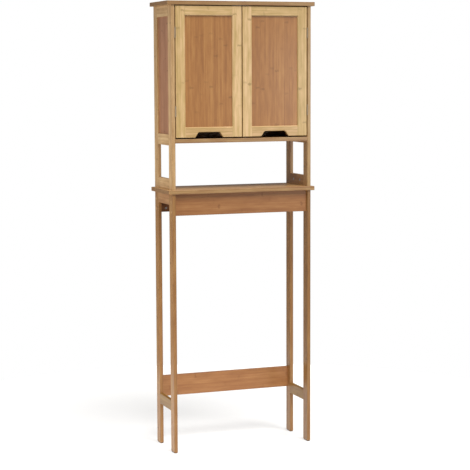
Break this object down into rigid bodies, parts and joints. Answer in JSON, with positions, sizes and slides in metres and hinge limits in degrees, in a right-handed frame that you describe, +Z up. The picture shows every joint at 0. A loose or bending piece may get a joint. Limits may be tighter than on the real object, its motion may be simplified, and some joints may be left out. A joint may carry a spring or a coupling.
{
  "type": "over the toilet storage rack",
  "caption": "Bamboo rack that stands over a toilet: open lower bay, shelf, and a cabinet on posts with hinged framed doors that have finger notches.",
  "frame": {"origin": "on the floor, under the middle of the shelf board's outline", "axes": "+X to the rack's right as seen from its front, -Y towards the front, +Z up"},
  "size_m": [0.617, 0.23, 1.78],
  "materials": {
    "bamboo_bar": "satin clear lacquer",
    "bamboo_board": "satin clear lacquer",
    "bamboo_apron": "satin clear lacquer",
    "bamboo_door_frame": "satin clear lacquer",
    "bamboo_door_panel": "satin clear lacquer",
    "bamboo_thin_panel": "satin clear lacquer",
    "beech_dowel": "unfinished",
    "hinge_metal": "satin nickel plate",
    "screw_steel": "nickel plate",
    "zinc_steel": "zinc plate",
    "magnet_steel": "bare",
    "catch_plastic": "moulded",
    "glide_plastic": "moulded",
    "cap_plastic": "moulded"
  },
  "bodies": {
    "frame": {"apron_bolts": "zinc_steel", "barrel_nuts": "zinc_steel", "base_rail_left": "bamboo_bar", "base_rail_right": "bamboo_bar", "bolt_caps": "cap_plastic", "cabinet_back_panel": "bamboo_thin_panel", "cabinet_floor_board": "bamboo_board", "cam_bolts": "zinc_steel", "cam_locks": "zinc_steel", "catch_housing": "catch_plastic", "catch_magnets": "magnet_steel", "cross_rail_left": "bamboo_bar", "cross_rail_right": "bamboo_bar", "foot_glides": "glide_plastic", "frame_dowels": "beech_dowel", "frame_hinge_leaves": "hinge_metal", "frame_screws": "screw_steel", "front_apron": "bamboo_apron", "front_leg_left": "bamboo_bar", "front_leg_right": "bamboo_bar", "front_post_left": "bamboo_bar", "front_post_right": "bamboo_bar", "hinge_pins": "hinge_metal", "inner_shelf": "bamboo_board", "lower_back_rail": "bamboo_apron", "lower_side_rail_left": "bamboo_bar", "lower_side_rail_right": "bamboo_bar", "mid_rail_left": "bamboo_bar", "mid_rail_right": "bamboo_bar", "rear_apron": "bamboo_apron", "rear_leg_left": "bamboo_bar", "rear_leg_right": "bamboo_bar", "rear_post_left": "bamboo_bar", "rear_post_right": "bamboo_bar", "shelf_board": "bamboo_board", "shelf_bolts": "zinc_steel", "shelf_dowels": "beech_dowel", "shelf_pins": "zinc_steel", "side_panel_left": "bamboo_thin_panel", "side_panel_right": "bamboo_thin_panel", "top_board": "bamboo_board", "top_side_rail_left": "bamboo_bar", "top_side_rail_right": "bamboo_bar", "wall_fixing_rail": "bamboo_apron"},
    "left_door": {"left_door_bottom_rail": "bamboo_door_frame", "left_door_hinge_leaves": "hinge_metal", "left_door_hinge_stile": "bamboo_door_frame", "left_door_meeting_stile": "bamboo_door_frame", "left_door_panel": "bamboo_door_panel", "left_door_screws": "screw_steel", "left_door_top_rail": "bamboo_door_frame", "left_strike_plate": "hinge_metal"},
    "right_door": {"right_door_bottom_rail": "bamboo_door_frame", "right_door_hinge_leaves": "hinge_metal", "right_door_hinge_stile": "bamboo_door_frame", "right_door_meeting_stile": "bamboo_door_frame", "right_door_panel": "bamboo_door_panel", "right_door_screws": "screw_steel", "right_door_top_rail": "bamboo_door_frame", "right_strike_plate": "hinge_metal"}
  },
  "joints": [
    {"name": "left_door_hinge", "type": "hinge", "parent": "frame", "child": "left_door", "pos_m": [-0.277, -0.112, 1.5055], "axis": [0, 0, -1], "range_deg": [0, 180]},
    {"name": "right_door_hinge", "type": "hinge", "parent": "frame", "child": "right_door", "pos_m": [0.277, -0.112, 1.5055], "axis": [0, 0, 1], "range_deg": [0, 180]}
  ]
}
